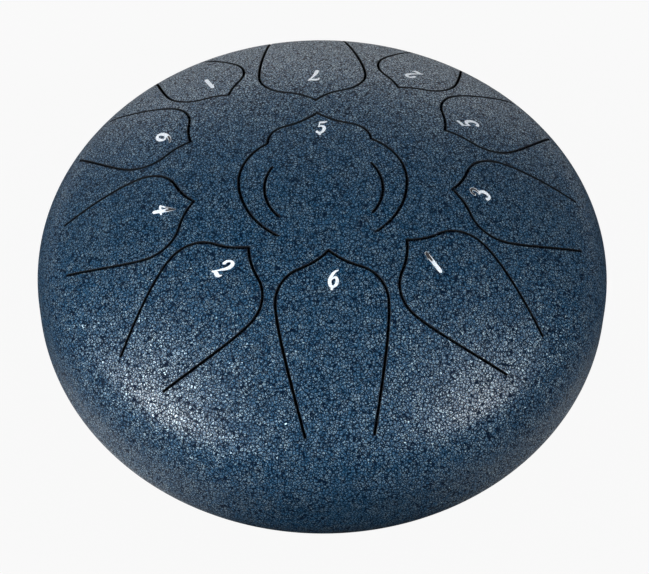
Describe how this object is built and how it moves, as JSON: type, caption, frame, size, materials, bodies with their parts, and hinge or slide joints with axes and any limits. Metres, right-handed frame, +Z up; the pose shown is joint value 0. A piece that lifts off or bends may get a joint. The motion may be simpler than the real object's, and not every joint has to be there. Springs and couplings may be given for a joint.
{
  "type": "steel tongue drum",
  "caption": "Round domed steel drum of two welded bowls, with spring tongues cut in its top around a lotus-shaped middle tongue, a sound port beneath and rubber feet.",
  "frame": {"origin": "centre of the drum on the plane that the feet stand on", "axes": "+Z up along the drum's axis, -Y towards the player, where the root of the middle tongue is"},
  "size_m": [0.254, 0.254, 0.1345],
  "materials": {
    "painted_steel": "navy crackle powder coat with silver flecks",
    "foot_rubber": "matt black rubber",
    "pad_foam": "adhesive foam"
  },
  "bodies": {
    "drum": {"upper_shell": "painted_steel", "lower_shell": "painted_steel", "seam_weld": "painted_steel", "foot_pads": "pad_foam", "foot_back_right": "foot_rubber", "foot_front_right": "foot_rubber", "foot_front_left": "foot_rubber", "foot_back_left": "foot_rubber"},
    "tongue_low_6": {"tongue_low_6": "painted_steel"},
    "tongue_low_7": {"tongue_low_7": "painted_steel"},
    "tongue_1": {"tongue_1": "painted_steel"},
    "tongue_2": {"tongue_2": "painted_steel"},
    "tongue_3": {"tongue_3": "painted_steel"},
    "tongue_4": {"tongue_4": "painted_steel"},
    "tongue_5": {"tongue_5": "painted_steel"},
    "tongue_6": {"tongue_6": "painted_steel"},
    "tongue_high_1": {"tongue_high_1": "painted_steel"},
    "tongue_high_2": {"tongue_high_2": "painted_steel"},
    "tongue_low_5": {"tongue_low_5": "painted_steel"}
  },
  "joints": [
    {"name": "tongue_low_6_flex", "type": "hinge", "parent": "drum", "child": "tongue_low_6", "pos_m": [0, -0.11005, 0.10093], "axis": [1, 0, 0], "range_deg": [-0.5, 0.5], "stiffness_Nm_per_rad": 18},
    {"name": "tongue_low_7_flex", "type": "hinge", "parent": "drum", "child": "tongue_low_7", "pos_m": [0, 0.12155, 0.08967], "axis": [-1, 0, 0], "range_deg": [-0.5, 0.5], "stiffness_Nm_per_rad": 18},
    {"name": "tongue_1_flex", "type": "hinge", "parent": "drum", "child": "tongue_1", "pos_m": [0.08097, -0.07394, 0.10119], "axis": [0.6743, 0.7385, 0], "range_deg": [-0.5, 0.5], "stiffness_Nm_per_rad": 18},
    {"name": "tongue_2_flex", "type": "hinge", "parent": "drum", "child": "tongue_2", "pos_m": [-0.08097, -0.07394, 0.10119], "axis": [0.6743, -0.7385, 0], "range_deg": [-0.5, 0.5], "stiffness_Nm_per_rad": 18},
    {"name": "tongue_3_flex", "type": "hinge", "parent": "drum", "child": "tongue_3", "pos_m": [0.11278, -0.00394, 0.09904], "axis": [0.0349, 0.9994, 0], "range_deg": [-0.5, 0.5], "stiffness_Nm_per_rad": 18},
    {"name": "tongue_4_flex", "type": "hinge", "parent": "drum", "child": "tongue_4", "pos_m": [-0.11278, -0.00394, 0.09904], "axis": [0.0349, -0.9994, 0], "range_deg": [-0.5, 0.5], "stiffness_Nm_per_rad": 18},
    {"name": "tongue_5_flex", "type": "hinge", "parent": "drum", "child": "tongue_5", "pos_m": [0.09959, 0.06151, 0.09542], "axis": [-0.5255, 0.8508, 0], "range_deg": [-0.5, 0.5], "stiffness_Nm_per_rad": 18},
    {"name": "tongue_6_flex", "type": "hinge", "parent": "drum", "child": "tongue_6", "pos_m": [-0.09959, 0.06151, 0.09542], "axis": [-0.5255, -0.8508, 0], "range_deg": [-0.5, 0.5], "stiffness_Nm_per_rad": 18},
    {"name": "tongue_high_1_flex", "type": "hinge", "parent": "drum", "child": "tongue_high_1", "pos_m": [-0.06096, 0.10226, 0.09319], "axis": [-0.859, -0.512, 0], "range_deg": [-0.5, 0.5], "stiffness_Nm_per_rad": 18},
    {"name": "tongue_high_2_flex", "type": "hinge", "parent": "drum", "child": "tongue_high_2", "pos_m": [0.06096, 0.10226, 0.09319], "axis": [-0.859, 0.512, 0], "range_deg": [-0.5, 0.5], "stiffness_Nm_per_rad": 18},
    {"name": "tongue_low_5_flex", "type": "hinge", "parent": "drum", "child": "tongue_low_5", "pos_m": [0, -0.02725, 0.13207], "axis": [1, 0, 0], "range_deg": [-0.5, 0.5], "stiffness_Nm_per_rad": 18}
  ]
}
